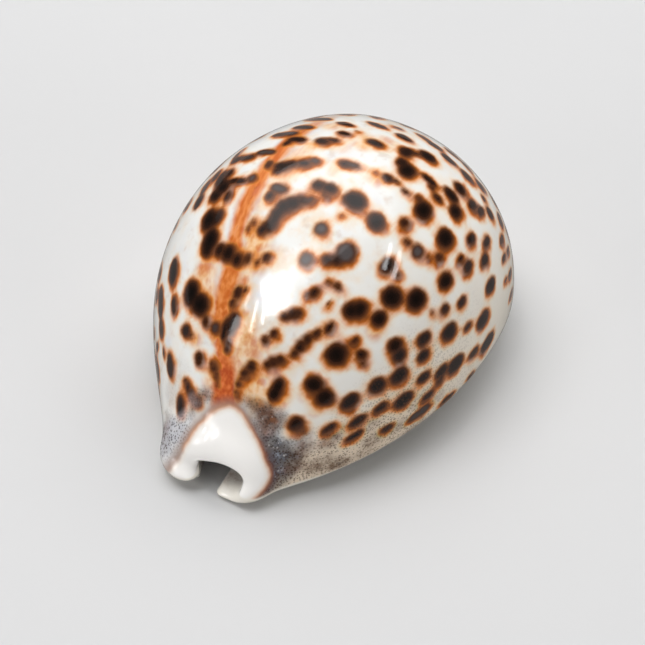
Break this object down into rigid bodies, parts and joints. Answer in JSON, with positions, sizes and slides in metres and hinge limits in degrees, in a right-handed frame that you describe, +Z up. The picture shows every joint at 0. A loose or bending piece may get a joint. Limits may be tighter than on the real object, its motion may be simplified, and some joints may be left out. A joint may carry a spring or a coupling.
{
  "type": "cowrie shell",
  "caption": "Hollow egg-shaped sea shell with a glossy spotted back, a white front callus and a toothed slot along its flat base.",
  "frame": {"origin": "centre of the footprint, on the surface that the shell rests on", "axes": "+Y along the shell's length towards its spire end, with the front canal at -Y; +X towards the columellar side; +Z up through the back"},
  "size_m": [0.0597, 0.0818, 0.0435],
  "materials": {
    "shell_glaze": "glossy natural enamel: warm white ground with brown-black spots, orange halos and a rusty line"
  },
  "bodies": {
    "root": {"shell": "shell_glaze"}
  },
  "joints": []
}
